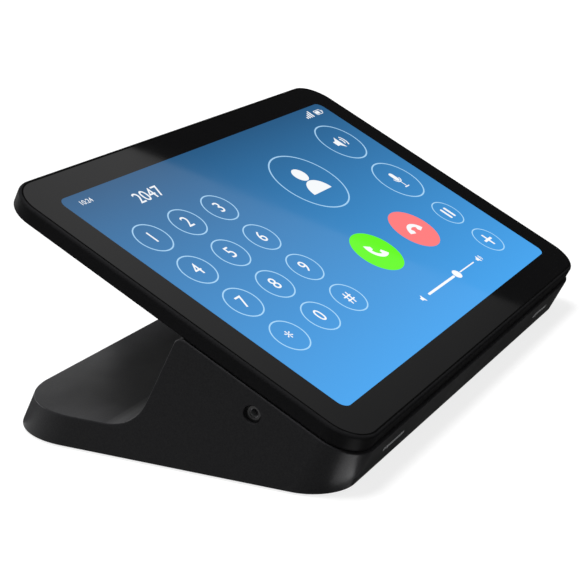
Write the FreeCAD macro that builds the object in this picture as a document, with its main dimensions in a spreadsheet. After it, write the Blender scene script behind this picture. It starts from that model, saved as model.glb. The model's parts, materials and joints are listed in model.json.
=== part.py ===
import FreeCAD, Part
import os
import Sketcher

# Touch-screen desk phone: a display slab on a weighted wedge base with a low tail.
# Millimetres. X runs right, Y runs back and Z runs up from the desk.
# The origin is on the desk, under the middle of the box.
# The panel axes lie on the screen: x right, y up the screen, z out of the glass, from the screen's centre.

doc = FreeCAD.newDocument("touch_desk_phone")

driving = {
    # Display slab
    "tilt": 28.3,
    "centre_height": 61.6,
    "screen_width": 217.0,
    "screen_height": 135.6,
    "bezel": 13.2,
    "glass_corner": 13.0,
    "glass_thick": 1.1,
    "tape_thick": 0.2,
    "tape_width": 3.4,
    "seam": 0.3,
    "frame_lip": 1.4,
    "frame_edge": 1.3,
    "frame_ledge": 5.6,
    "frame_depth": 5.0,
    "cell_border": 3.5,
    "cell_thick": 1.4,
    "cell_corner": 1.5,
    "backlight_thick": 1.8,
    "backlight_corner": 2.0,
    "backplate_thick": 0.5,
    "cover_thick": 1.7,
    "cover_edge": 0.6,
    "shadow_gap": 0.4,
    "shadow_depth": 5.0,
    "ribbon_wide": 24.0,
    "ribbon_thick": 0.4,
    "ribbon_room": 3.0,
    # Wedge base
    "base_margin": 0.4,
    "front_margin": 1.2,
    "base_rear": 50.0,
    "front_corner": 15.0,
    "rear_corner": 30.0,
    "neck_drop": 4.5,
    "neck_round": 3.5,
    "scoop_radius": 22.0,
    "tail_height": 12.8,
    "wall": 2.5,
    "edge_break": 0.5,
    "fit_gap": 0.3,
    "foot_stand": 0.8,
    "plate_thick": 2.4,
    # Feet, weights and screws
    "foot_radius": 7.0,
    "foot_pocket": 1.0,
    "foot_inset": 28.8,
    "foot_front": 48.0,
    "foot_rear": 72.0,
    "ballast_thick": 4.0,
    "ballast_deep": 22.0,
    "tail_weight_wide": 60.0,
    "tail_weight_deep": 38.0,
    "screw_radius": 1.5,
    "screw_head": 2.7,
    "head_thick": 1.2,
    "boss_radius": 3.6,
    "boss_bite": 6.0,
    "slack": 0.1,
    "cover_screw": 0.9,
    "cover_head": 1.7,
    "cover_bite": 2.4,
    "display_screw_apart": 48.0,
    "plate_screw_across": 50.0,
    "plate_screw_inset": 14.0,
    # Boards
    "board_thick": 1.6,
    "board_drop": 19.1,
    "board_gap": 4.3,
    "board_screw_inset": 5.0,
    "board_front": 64.0,
    "board_rear": 21.0,
    "io_height": 20.0,
    "io_front": 20.0,
    "io_rear": 7.0,
    "post_radius": 3.0,
    "post_gap": 1.0,
    "post_bite": 8.0,
    "chip_across": 50.0,
    "chip_size": 24.0,
    "chip_thick": 2.0,
    "spreader_wide": 60.0,
    "spreader_deep": 34.0,
    "spreader_thick": 3.0,
    # Headset jack, in the left wall
    "jack_along": 42.6,
    "jack_drop": 15.4,
    "jack_bore": 1.8,
    "jack_nose": 2.7,
    "jack_recess": 3.6,
    "jack_sink": 1.6,
    "jack_long": 14.0,
    "jack_wide": 6.4,
    # Microphone slots, in the front wall
    "mic_across": 83.0,
    "mic_drop": 15.3,
    "mic_long": 18.6,
    "mic_high": 1.8,
    "mic_slit": 0.8,
    "mic_rim": 0.5,
    "mic_gap": 0.1,
    "module_high": 5.0,
    "module_deep": 2.5,
    "module_corner": 0.5,
    # Loudspeakers, behind the neck wall
    "grille_wide": 132.0,
    "grille_high": 19.0,
    "grille_drop": 24.0,
    "grille_slot": 1.6,
    "grille_corner": 4.0,
    "grille_lap": 3.0,
    "slot_end": 2.5,
    "speaker_across": 48.0,
    "speaker_radius": 9.0,
    "speaker_deep": 8.0,
    "gasket_thick": 1.0,
    "gasket_wide": 1.5,
    # Buttons
    "power_long": 9.0,
    "power_high": 3.6,
    "power_travel": 0.8,
    "button_gap": 0.3,
    "cap_sink": 0.2,
    "collar_thick": 1.0,
    "collar_lap": 1.3,
    "stem_long": 1.5,
    "stem_radius": 1.2,
    "switch_deep": 4.0,
    "switch_size": 6.0,
    "reset_across": 20.0,
    "reset_ahead": 8.0,
    "reset_radius": 1.3,
    "reset_sink": 0.5,
    "reset_travel": 0.6,
    # Cable bay under the base
    "bay_half": 28.0,
    "bay_front": 4.0,
    "bay_high": 10.0,
    "bay_travel": 45.0,
    "bay_wall_from": 40.0,
    "rail_thick": 2.0,
    "flange_wide": 3.0,
    "flange_thick": 1.2,
    "outlet_half": 4.5,
    "outlet_high": 5.0,
    # Sockets
    "network_across": 8.0,
    "network_wide": 16.0,
    "network_high": 13.4,
    "network_deep": 20.0,
    "network_mouth_wide": 11.8,
    "network_mouth_high": 8.2,
    "network_mouth_deep": 12.5,
    "latch_high": 2.0,
    "usb_across": 14.0,
    "usb_wide": 9.0,
    "usb_high": 3.3,
    "usb_deep": 7.5,
    "usb_shell": 0.35,
    "tongue_wide": 6.7,
    "tongue_thick": 0.7,
    # Security-lock slot, in the right wall of the tail
    "lock_along": 40.0,
    "lock_long": 7.0,
    "lock_high": 3.0,
    "lock_plate_thick": 1.5,
    "lock_plate_lap": 4.5,
}

sheet = doc.addObject("Spreadsheet::Sheet", "dims")
for row, (alias, size) in enumerate(driving.items(), start=1):
    sheet.set(f"A{row}", alias)
    sheet.set(f"B{row}", str(size))
    sheet.setAlias(f"B{row}", alias)
doc.recompute()

COS = "cos(dims.tilt * 1 deg)"
SIN = "sin(dims.tilt * 1 deg)"
X_AXIS = FreeCAD.Vector(1, 0, 0)
Y_AXIS = FreeCAD.Vector(0, 1, 0)
FLAT = "0"
FACE_UP_SCREEN = "dims.tilt"
FACE_NECK = "dims.tilt - 90"
FACE_FRONT = "dims.tilt + 90"
SIDES = {"left": "-1", "right": "1"}
GRILLE_SLOTS = 33
OVER = "1"  # how far a cutting form runs past what it cuts
DEEP = "5"  # the same, where there is room for more

finished = []


# Sizes worked out from the driving ones

glass_w = "(dims.screen_width + 2 * dims.bezel)"
glass_h = "(dims.screen_height + 2 * dims.bezel)"
frame_w = f"({glass_w} + 2 * (dims.seam + dims.frame_lip))"
frame_h = f"({glass_h} + 2 * (dims.seam + dims.frame_lip))"
frame_corner = "(dims.glass_corner + dims.seam + dims.frame_lip)"
opening_w = f"({glass_w} - 2 * dims.frame_ledge)"
opening_h = f"({glass_h} - 2 * dims.frame_ledge)"
opening_corner = "(dims.glass_corner - dims.frame_ledge)"
cell_w = "(dims.screen_width + 2 * dims.cell_border)"
cell_h = "(dims.screen_height + 2 * dims.cell_border)"
backlight_top = "(dims.glass_thick + dims.cell_thick)"
backplate_top = f"({backlight_top} + dims.backlight_thick)"
slab = "(dims.frame_depth + dims.cover_thick)"
base_half = f"({frame_w} / 2 + dims.base_margin)"
base_front = f"({frame_h} / 2 + dims.front_margin)"
base_top = f"({slab} + dims.shadow_gap)"
ceiling = f"({base_top} + dims.wall)"
neck_inside = "(dims.neck_drop + dims.wall)"
plate_low = "(dims.foot_stand + dims.slack)"
plate_top = f"({plate_low} + dims.plate_thick)"
front_reach = f"(({frame_h} / 2 - dims.frame_edge) * {COS} - dims.frame_edge * {SIN} + dims.frame_edge)"
rear_reach = (f"(dims.base_rear * {COS} + {SIN} / {COS} "
              f"* (dims.centre_height - dims.foot_stand + dims.base_rear * {SIN}))")
panel_y = f"(({front_reach} - {rear_reach}) / 2)"


def value(expression):
    return float(sheet.evalExpression(expression))


def on_panel(x, y, z):
    """A point given on the panel axes, as desk coordinates."""
    return (x,
            f"{panel_y} + ({y}) * {COS} - ({z}) * {SIN}",
            f"dims.centre_height + ({y}) * {SIN} + ({z}) * {COS}")


def on_desk(x, y, z):
    """A point on the desk axes, with y measured from below the screen's centre."""
    return (x, f"{panel_y} + ({y})", z)


def depth_at(y, height):
    """Panel z of the point at panel y that stands at this height over the desk."""
    return f"(({height}) - dims.centre_height - ({y}) * {SIN}) / {COS}"


def desk_y_at(y, height):
    """Desk distance behind the screen's centre of the point at panel y and this height."""
    return f"((({y}) - (({height}) - dims.centre_height) * {SIN}) / {COS})"


def panel_stack(x, y, level):
    """Gives the points above (x, y) on the panel axes by their height over a level."""
    return lambda offset: on_panel(x, y, f"{level} + ({offset})")


def desk_stack(x, y, level, way="1"):
    """Gives the points above (x, y) on the desk axes, or below them, by their distance from a level."""
    return lambda offset: on_desk(x, y, f"{level} + {way} * ({offset})")


def side_span(sign, near, far):
    """The two x values near and far from the middle on one side, the lower one first."""
    return (near, far) if sign == "1" else (f"-({far})", f"-({near})")


def place(item, point, turn=FLAT, axis=X_AXIS):
    angle = value(turn)
    item.Placement = FreeCAD.Placement(FreeCAD.Vector(), FreeCAD.Rotation(axis, angle))
    for name, expression in zip("xyz", point):
        item.setExpression(f"Placement.Base.{name}", expression)
    if turn != FLAT:
        item.setExpression("Placement.Rotation.Angle", f"({turn}) * 1 deg")


def finish(item, label):
    item.Label = label
    finished.append(item)
    return item


# Features inside a body

def plane(body, role):
    return next(item for item in body.Origin.OriginFeatures if item.Role == role)


def draw(body, role, corners, name):
    """A closed outline with straight sides, each corner tied to its two expressions."""
    sketch = body.newObject("Sketcher::SketchObject", name)
    sketch.AttachmentSupport = [(plane(body, role), "")]
    sketch.MapMode = "FlatFace"
    points = [FreeCAD.Vector(value(across), value(up), 0) for across, up in corners]
    for start, end in zip(points, points[1:] + points[:1]):
        sketch.addGeometry(Part.LineSegment(start, end))
    count = len(points)
    for line in range(count):
        sketch.addConstraint(Sketcher.Constraint("Coincident", line, 2, (line + 1) % count, 1))
    for line, (corner, point) in enumerate(zip(corners, points)):
        for kind, expression, size in zip(("DistanceX", "DistanceY"), corner, point):
            index = sketch.addConstraint(Sketcher.Constraint(kind, -1, 1, line, 1, size))
            sketch.setExpression(f"Constraints[{index}]", expression)
    return sketch


def pad(body, sketch, length):
    feature = body.newObject("PartDesign::Pad", "Pad")
    feature.Profile = sketch
    feature.Reversed = True
    feature.setExpression("Length", length)
    return feature


def cut_across(body, sketch):
    """Cut right through the body along x, both ways from the middle plane."""
    doc.recompute()
    before = body.Shape.Volume
    feature = body.newObject("PartDesign::Pocket", "Pocket")
    feature.Profile = sketch
    feature.Midplane = True
    feature.setExpression("Length", f"4 * {base_half}")
    doc.recompute()
    if not body.Shape.Volume < before:
        raise RuntimeError(f"{body.Label}: a cut took nothing away")
    return feature


def round_edges(body, radius, pick):
    doc.recompute()
    base = body.Tip
    names = [f"Edge{index}" for index, edge in enumerate(base.Shape.Edges, start=1) if pick(edge)]
    if not names:
        raise RuntimeError(f"{body.Label}: no edge to round")
    feature = body.newObject("PartDesign::Fillet", "Fillet")
    feature.Base = (base, names)
    feature.setExpression("Radius", radius)
    return feature


def is_upright(edge):
    return len(edge.Vertexes) == 2 and abs(edge.tangentAt(edge.FirstParameter).z) > 0.999


def lies_at(edge, z):
    box = edge.BoundBox
    return abs(box.ZMin - z) < 1e-4 and abs(box.ZMax - z) < 1e-4


# Simple pieces

def rectangle(x_low, y_low, x_high, y_high):
    return [(x_low, y_low), (x_high, y_low), (x_high, y_high), (x_low, y_high)]


def plate(label, size, corner, origin, turn=FACE_UP_SCREEN):
    """A rounded plate whose top face is at the origin, with its thickness below."""
    width, height, thick = size
    body = doc.addObject("PartDesign::Body", label)
    outline = rectangle(f"-{width} / 2", f"-{height} / 2", f"{width} / 2", f"{height} / 2")
    pad(body, draw(body, "XY_Plane", outline, f"{label}_outline"), thick)
    round_edges(body, corner, is_upright)
    place(body, origin, turn)
    return body


def block(label, size, middle, tilted=True):
    """A box about its middle, on the panel axes or, if not tilted, on the desk axes."""
    item = doc.addObject("Part::Box", label)
    for name, expression in zip(("Length", "Width", "Height"), size):
        item.setExpression(name, expression)
    corner = [f"({centre}) - ({side}) / 2" for centre, side in zip(middle, size)]
    if tilted:
        place(item, on_panel(*corner), FACE_UP_SCREEN)
    else:
        place(item, on_desk(*corner))
    return item


def span(label, x, y, z):
    """A box on the desk axes between two values along each axis."""
    item = doc.addObject("Part::Box", label)
    for name, (low, high) in zip(("Length", "Width", "Height"), (x, y, z)):
        item.setExpression(name, f"({high}) - ({low})")
    place(item, on_desk(x[0], y[0], z[0]))
    return item


def rod(label, radius, length, start, turn=FLAT, axis=X_AXIS):
    item = doc.addObject("Part::Cylinder", label)
    item.setExpression("Radius", radius)
    item.setExpression("Height", length)
    place(item, start, turn, axis)
    return item


def cut(label, base, tools):
    item = doc.addObject("Part::Cut", label)
    item.Base = base
    item.Tool = tools[0] if len(tools) == 1 else join(f"{label}_tools", tools)
    return item


def join(label, pieces):
    item = doc.addObject("Part::MultiFuse", label)
    item.Shapes = pieces
    return item


def common(label, first, second):
    item = doc.addObject("Part::Common", label)
    item.Base = first
    item.Tool = second
    return item


def group(label, pieces):
    item = doc.addObject("Part::Compound", label)
    item.Links = pieces
    return item


def screw(label, head_at, length, turn, head_radius="dims.screw_head",
          radius="dims.screw_radius - dims.slack / 2"):
    """A screw whose shank runs along its turned z axis from under the head at head_at(0)."""
    head = rod(f"{label}_head", head_radius, "dims.head_thick", head_at("-dims.head_thick"), turn)
    shank = rod(f"{label}_shank", radius, f"{length} + dims.slack", head_at("-dims.slack"), turn)
    return join(label, [head, shank])


# Display slab

frame_block = plate("frame_block", (frame_w, frame_h, "dims.frame_depth"), frame_corner,
                    on_panel("0", "0", "0"))
round_edges(frame_block, "dims.frame_edge", lambda edge: lies_at(edge, 0))
glass_pocket = plate("glass_pocket",
                     (f"({glass_w} + 2 * dims.seam)", f"({glass_h} + 2 * dims.seam)",
                      "(dims.glass_thick + dims.tape_thick)"),
                     "dims.glass_corner + dims.seam", on_panel("0", "0", "0"))
frame_opening = plate("frame_opening", (opening_w, opening_h, f"(dims.frame_depth + {OVER})"), opening_corner,
                      on_panel("0", "0", "0"))

cover_glass = plate("cover_glass_body", (glass_w, glass_h, "dims.glass_thick"), "dims.glass_corner",
                    on_panel("0", "0", "0"))
finish(cover_glass, "cover_glass")

tape_outer = plate("tape_outer", (glass_w, glass_h, "dims.tape_thick"), "dims.glass_corner",
                   on_panel("0", "0", "-dims.glass_thick"))
tape_inner = plate("tape_inner",
                   (f"({glass_w} - 2 * dims.tape_width)", f"({glass_h} - 2 * dims.tape_width)",
                    f"(dims.tape_thick + {OVER})"),
                   "dims.glass_corner - dims.tape_width", on_panel("0", "0", "-dims.glass_thick"))
finish(cut("tape", tape_outer, [tape_inner]), "glass_tape")

cell = plate("cell", (cell_w, cell_h, "dims.cell_thick"), "dims.cell_corner",
             on_panel("0", "0", "-dims.glass_thick"))
finish(cell, "lcd_panel")
backlight = plate("backlight", (cell_w, cell_h, "dims.backlight_thick"), "dims.backlight_corner",
                  on_panel("0", "0", f"-{backlight_top}"))
finish(backlight, "backlight_unit")
backplate = plate("backplate",
                  (f"({opening_w} - 2 * dims.fit_gap)", f"({opening_h} - 2 * dims.fit_gap)",
                   "dims.backplate_thick"),
                  opening_corner, on_panel("0", "0", f"-{backplate_top}"))
ribbon_y = f"-({base_front} - dims.neck_drop) / 2"
ribbon_slot = block("ribbon_slot",
                    ("dims.ribbon_wide + 2 * dims.ribbon_room", "dims.ribbon_thick + 1.2 * dims.ribbon_room",
                     "2 * dims.board_drop"),
                    ("0", ribbon_y, f"-{ceiling}"))
finish(cut("backplate_cut", backplate, [ribbon_slot]), "panel_backplate")


# Screw places, on the panel axes

def corner_places(half_x, half_y):
    return [(f"{sx} * ({half_x})", f"{sy} * ({half_y})") for sy in (-1, 1) for sx in (-1, 1)]


edge_inset = "(dims.frame_ledge / 2)"
cover_screw_places = corner_places(f"{glass_w} / 2 - {edge_inset}", f"{glass_h} / 2 - dims.glass_corner")
cover_screw_places += [(f"{side} * {glass_w} / 6", f"{glass_h} / 2 - {edge_inset}") for side in (-1, 1)]

cover_holes = []
frame_holes = []
cover_screws = []
for number, (x, y) in enumerate(cover_screw_places, start=1):
    under_head = panel_stack(x, y, f"-{slab} + dims.head_thick + dims.slack")
    cover_screws.append(screw(f"cover_screw_{number}", under_head, "dims.cover_bite", FACE_UP_SCREEN,
                              "dims.cover_head", "dims.cover_screw"))
    cover_holes.append(rod(f"cover_sink_{number}", "dims.cover_head + 1.5 * dims.slack",
                           f"dims.head_thick + {OVER}", under_head(f"-dims.head_thick - {OVER}"),
                           FACE_UP_SCREEN))
    cover_holes.append(rod(f"cover_hole_{number}", "dims.cover_screw + dims.slack",
                           f"dims.cover_thick + {OVER}", under_head(f"-{OVER}"), FACE_UP_SCREEN))
    frame_holes.append(rod(f"frame_hole_{number}", "dims.cover_screw + dims.slack / 2",
                           "dims.cover_bite + 2 * dims.slack", under_head("0"), FACE_UP_SCREEN))
finish(group("cover_screw_set", cover_screws), "rear_cover_screws")
finish(cut("frame", frame_block, [glass_pocket, frame_opening] + frame_holes), "front_frame")

display_screw_places = [(f"{side} * {base_half} * 0.7", f"{ribbon_y} + {end} * dims.display_screw_apart / 2")
                        for side in (-1, 1) for end in (-1, 1)]
display_screws = []
display_holes = []
for number, (x, y) in enumerate(display_screw_places, start=1):
    under_ceiling = panel_stack(x, y, f"-{ceiling}")
    display_screws.append(screw(f"display_screw_{number}", under_ceiling,
                                f"{ceiling} - dims.frame_depth - 2 * dims.slack", FACE_UP_SCREEN))
    display_holes.append(rod(f"display_hole_{number}", "dims.screw_radius", ceiling,
                             under_ceiling("-dims.wall"), FACE_UP_SCREEN))
finish(group("display_screw_set", display_screws), "display_screws")

cover_sheet = plate("cover_sheet", (frame_w, frame_h, "dims.cover_thick"), frame_corner,
                    on_panel("0", "0", "-dims.frame_depth"))
doc.recompute()
cover_low = -value("dims.cover_thick")
round_edges(cover_sheet, "dims.cover_edge", lambda edge: lies_at(edge, cover_low))
plinth_deep = f"({base_front} - dims.neck_drop - dims.neck_round - 2 * dims.shadow_depth)"
plinth = plate("plinth",
               (f"({frame_w} - 2 * dims.shadow_depth)", plinth_deep, "(dims.shadow_gap + dims.cover_edge)"),
               f"{frame_corner} - dims.shadow_depth",
               on_panel("0", f"-{base_front} + dims.shadow_depth + {plinth_deep} / 2",
                        f"-{slab} + dims.cover_edge"))
cover_blank = join("cover_blank", [cover_sheet, plinth])
finish(cut("cover_cut", cover_blank, cover_holes + display_holes + [ribbon_slot]), "rear_cover")


# Wedge base

def wedge(label, inset, floor):
    """The base's outer form, drawn in by an inset all round, down to a floor height over the desk."""
    body = doc.addObject("PartDesign::Body", label)
    half = f"({base_half} - ({inset}))"
    front = f"(-{base_front} + ({inset}))"
    rear = f"(dims.base_rear - ({inset}))"
    top = f"(-{base_top} - ({inset}))"
    neck = f"(-dims.neck_drop - ({inset}))"
    tail = f"(dims.foot_stand + dims.tail_height - ({inset}))"
    far = f"({rear} + 4 * {DEEP})"
    deep = f"({depth_at(far, floor)} - 6 * {DEEP})"
    outline = draw(body, "XY_Plane", rectangle(f"-{half}", front, half, rear), f"{label}_outline")
    outline.setExpression("AttachmentOffset.Base.z", top)
    pad(body, outline, f"-({deep}) + {top}")
    round_edges(body, f"dims.front_corner + dims.base_margin - ({inset})",
                lambda edge: is_upright(edge) and edge.CenterOfMass.y < 0)
    round_edges(body, f"dims.rear_corner - ({inset})",
                lambda edge: is_upright(edge) and abs(edge.CenterOfMass.y - value(rear)) < 1e-4)
    near = f"({front} - 4 * {DEEP})"
    cut_across(body, draw(body, "YZ_Plane",
                          [(near, depth_at(near, floor)), (near, deep), (far, deep),
                           (far, depth_at(far, floor))], f"{label}_underside"))
    cut_across(body, draw(body, "YZ_Plane",
                          [(neck, f"{top} + {DEEP}"), (neck, depth_at(neck, tail)),
                           (far, depth_at(far, tail)), (far, f"{top} + {DEEP}")], f"{label}_scoop"))
    neck_low = FreeCAD.Vector(0, value(neck), value(depth_at(neck, tail)))
    neck_high = FreeCAD.Vector(0, value(neck), value(top))
    round_edges(body, f"dims.scoop_radius + ({inset})",
                lambda edge: edge.CenterOfMass.distanceToPoint(neck_low) < 1e-3)
    round_edges(body, f"dims.neck_round - ({inset})",
                lambda edge: edge.CenterOfMass.distanceToPoint(neck_high) < 1e-3)
    place(body, on_panel("0", "0", "0"), FACE_UP_SCREEN)
    return body


def break_upper_edges(body):
    """Take the sharpness off the edges where the top, neck, scoop and tail meet the outer walls."""
    doc.recompute()
    shape = body.Tip.Shape
    neck = -value("dims.neck_drop")

    def is_wall(face):
        if abs(face.normalAt(0, 0).z) > 1e-6 or abs(face.CenterOfMass.y - neck) < 1e-3:
            return False
        return face.Surface.TypeId == "Part::GeomPlane" or abs(face.Surface.Axis.z) > 0.999

    def is_floor(face):
        return face.normalAt(0, 0).z < -0.1

    def pick(edge):
        faces = shape.ancestorsOfType(edge, Part.Face)
        walls_met = [face for face in faces if is_wall(face)]
        return len(walls_met) == 1 and not any(is_floor(face) for face in faces)

    round_edges(body, "dims.edge_break", pick)


below_desk = f"(dims.foot_stand - {DEEP})"
outer = wedge("wedge_outer", "0", "dims.foot_stand")
break_upper_edges(outer)
inner = wedge("wedge_inner", "dims.wall", below_desk)
middle = wedge("wedge_middle", "dims.wall / 2", below_desk)
plate_form = wedge("wedge_plate", "dims.wall + dims.fit_gap / 2", below_desk)
walls = cut("wedge_walls", outer, [inner])


# Bosses under the ceiling for the board, and standing on the base plate's screws

board_half = f"({base_half} - dims.wall - dims.board_gap)"
board_screw_places = [(f"{side} * {board_half} * 0.88", y) for side in (-1, 1)
                      for y in ("-dims.board_rear - dims.board_screw_inset",
                                "-dims.board_front + dims.board_screw_inset")]
board_low = "(dims.board_drop + dims.board_thick)"
bosses = []
boss_holes = []
board_holes = []
board_screws = []
for number, (x, y) in enumerate(board_screw_places, start=1):
    under_board = panel_stack(x, y, f"-{board_low}")
    bosses.append(rod(f"board_boss_{number}", "dims.boss_radius",
                      f"dims.board_drop - {ceiling} + dims.wall / 2", on_panel(x, y, "-dims.board_drop"),
                      FACE_UP_SCREEN))
    boss_holes.append(rod(f"board_boss_hole_{number}", "dims.screw_radius", f"dims.boss_bite + {OVER}",
                          under_board("0"), FACE_UP_SCREEN))
    board_holes.append(rod(f"board_hole_{number}", "dims.screw_radius + dims.slack",
                           f"dims.board_thick + 2 * {OVER}", under_board(f"-{OVER}"), FACE_UP_SCREEN))
    board_screws.append(screw(f"board_screw_{number}", under_board, "dims.boss_bite", FACE_UP_SCREEN))
finish(group("board_screw_set", board_screws), "main_board_screws")

front_screw_y = desk_y_at(f"-{base_front} + dims.wall + 2 * dims.screw_head", plate_top)
rear_screw_y = desk_y_at("dims.base_rear - dims.rear_corner * 0.8", plate_top)
plate_screw_places = [(f"{side} * dims.plate_screw_across", front_screw_y) for side in (-1, 1)]
plate_screw_places += [(f"{side} * ({base_half} - dims.plate_screw_inset)", rear_screw_y) for side in (-1, 1)]
plate_holes = []
plate_screws = []
for number, (x, y) in enumerate(plate_screw_places, start=1):
    over_head = desk_stack(x, y, f"{plate_low} + 2 * dims.slack + dims.head_thick")
    pillar = rod(f"plate_pillar_{number}", "dims.boss_radius", "dims.centre_height",
                 on_desk(x, y, plate_top))
    bosses.append(common(f"plate_boss_{number}", pillar, middle))
    boss_holes.append(rod(f"plate_boss_hole_{number}", "dims.screw_radius", f"dims.boss_bite + {OVER}",
                          over_head("0")))
    plate_holes.append(rod(f"plate_hole_{number}", "dims.screw_radius + 2 * dims.slack",
                           f"dims.plate_thick + {OVER}", over_head(f"-{OVER} / 2")))
    plate_holes.append(rod(f"plate_sink_{number}", "dims.screw_head + 2 * dims.slack",
                           f"dims.head_thick + {OVER}", over_head(f"-dims.head_thick - {OVER}")))
    plate_screws.append(screw(f"plate_screw_{number}", over_head, "dims.boss_bite", FLAT))
finish(group("plate_screw_set", plate_screws), "base_plate_screws")


# Main board and what it carries

board_middle = "-(dims.board_front + dims.board_rear) / 2"
board = block("board", (f"2 * {board_half}", "dims.board_front - dims.board_rear", "dims.board_thick"),
              ("0", board_middle, "-dims.board_drop - dims.board_thick / 2"))
finish(cut("board_drilled", board, board_holes), "main_board")

chip = block("chip", ("dims.chip_size", "dims.chip_size", "dims.chip_thick"),
             ("dims.chip_across", board_middle, "-dims.board_drop + dims.chip_thick / 2"))
finish(chip, "processor")
spreader = block("spreader", ("dims.spreader_wide", "dims.spreader_deep", "dims.spreader_thick"),
                 ("dims.chip_across", board_middle,
                  "-dims.board_drop + dims.chip_thick + dims.spreader_thick / 2"))
finish(spreader, "heat_spreader")
ribbon_long = f"(dims.board_drop - {backplate_top})"
ribbon = block("ribbon", ("dims.ribbon_wide", "dims.ribbon_thick", ribbon_long),
               ("0", ribbon_y, f"-{backplate_top} - {ribbon_long} / 2"))
finish(ribbon, "display_ribbon")


# Headset jack in the left wall

def along_x(label, radius, x_from, x_to, y, z):
    """A rod from one x to a larger one, at a point of the panel's y and z."""
    return rod(label, radius, f"({x_to}) - ({x_from})", on_panel(x_from, y, z), "90", Y_AXIS)


jack_y = "-dims.jack_along"
jack_z = "-dims.jack_drop"
wall_inside = f"({base_half} - dims.wall)"
jack_face = f"(-{base_half} + dims.jack_sink)"
jack_start = f"(-{wall_inside} + dims.fit_gap)"
jack_nose = along_x("jack_nose", "dims.jack_nose", jack_face, f"{jack_start} + {OVER}", jack_y, jack_z)
jack_block = block("jack_block",
                   ("dims.jack_long", "dims.jack_wide", "2 * (dims.board_drop - dims.jack_drop)"),
                   (f"{jack_start} + dims.jack_long / 2", jack_y, jack_z))
jack_bore = along_x("jack_bore", "dims.jack_bore", f"{jack_face} - {OVER}",
                    f"{jack_start} + dims.jack_long - dims.jack_bore", jack_y, jack_z)
finish(cut("jack", join("jack_blank", [jack_nose, jack_block]), [jack_bore]), "headset_jack")
jack_recess = along_x("jack_recess", "dims.jack_recess", f"-{base_half} - {OVER}", jack_face, jack_y, jack_z)
jack_hole = along_x("jack_hole", "dims.jack_nose + dims.fit_gap", f"{jack_face} - {OVER} / 2",
                    f"-{wall_inside} + {OVER}", jack_y, jack_z)


# Power button in the right wall

def pill(label, x_from, x_to, y, z, long, high):
    """A bar with round ends, lying along the panel's y and running from one x to a larger one."""
    ends = [along_x(f"{label}_end_{index}", f"({high}) / 2", x_from, x_to,
                    f"({y}) + {side} * (({long}) - ({high})) / 2", z) for index, side in enumerate((-1, 1))]
    straight = block(f"{label}_straight", (f"({x_to}) - ({x_from})", f"({long}) - ({high})", high),
                     (f"(({x_to}) + ({x_from})) / 2", y, z))
    return join(label, ends + [straight])


cap_face = f"({base_half} - dims.cap_sink)"
collar_face = f"({wall_inside} - dims.button_gap)"
collar_middle = f"({collar_face} - dims.collar_thick / 2)"
stem_end = f"({collar_face} - dims.collar_thick - dims.stem_long)"
power_cap = pill("power_cap", collar_middle, cap_face, jack_y, jack_z, "dims.power_long", "dims.power_high")
power_collar = pill("power_collar", f"{collar_face} - dims.collar_thick", collar_face, jack_y, jack_z,
                    "dims.power_long + 2 * dims.collar_lap", "dims.power_high + dims.collar_lap")
power_stem = along_x("power_stem", "dims.stem_radius", stem_end, collar_middle, jack_y, jack_z)
finish(join("power", [power_cap, power_collar, power_stem]), "power_button")
power_hole = pill("power_hole", f"{wall_inside} - {OVER}", f"{base_half} + {OVER}", jack_y, jack_z,
                  "dims.power_long + 2 * dims.button_gap", "dims.power_high + 2 * dims.button_gap")
switch_high = "(2 * (dims.board_drop - dims.jack_drop))"
switch_face = f"({stem_end} - dims.power_travel - dims.button_gap)"
power_switch = block("power_switch_body", ("dims.switch_deep", "dims.switch_size", switch_high),
                     (f"{switch_face} - dims.switch_deep / 2", jack_y, jack_z))
finish(power_switch, "power_switch")


# Microphones in the front wall

mic_holes = []
nearly_half = "* 0.49"  # a corner this share of a plate's height makes its ends round
for side, sign in SIDES.items():
    x = f"{sign} * dims.mic_across"
    trim = plate(f"mic_trim_{side}_body", ("dims.mic_long", "dims.mic_high", "dims.wall"),
                 f"dims.mic_high {nearly_half}", on_panel(x, f"-{base_front}", "-dims.mic_drop"), FACE_FRONT)
    slit = plate(f"mic_slit_{side}",
                 ("(dims.mic_long - 2 * dims.mic_rim)", "dims.mic_slit", f"(dims.wall + 2 * {OVER})"),
                 f"dims.mic_slit {nearly_half}", on_panel(x, f"-{base_front} - {OVER}", "-dims.mic_drop"),
                 FACE_FRONT)
    finish(cut(f"mic_trim_{side}_cut", trim, [slit]), f"mic_trim_{side}")
    mic_holes.append(plate(f"mic_hole_{side}",
                           ("(dims.mic_long + 2 * dims.mic_gap)", "(dims.mic_high + 2 * dims.mic_gap)",
                            f"(dims.wall + 2 * {OVER})"),
                           f"(dims.mic_high + 2 * dims.mic_gap) {nearly_half}",
                           on_panel(x, f"-{base_front} - {OVER}", "-dims.mic_drop"), FACE_FRONT))
    module = plate(f"mic_module_{side}_body", ("dims.mic_long", "dims.module_high", "dims.module_deep"),
                   "dims.module_corner",
                   on_panel(x, f"-{base_front} + dims.wall + dims.mic_gap", "-dims.mic_drop"), FACE_FRONT)
    finish(module, f"mic_module_{side}")


# Loudspeakers and their slotted grille in the neck wall

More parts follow.
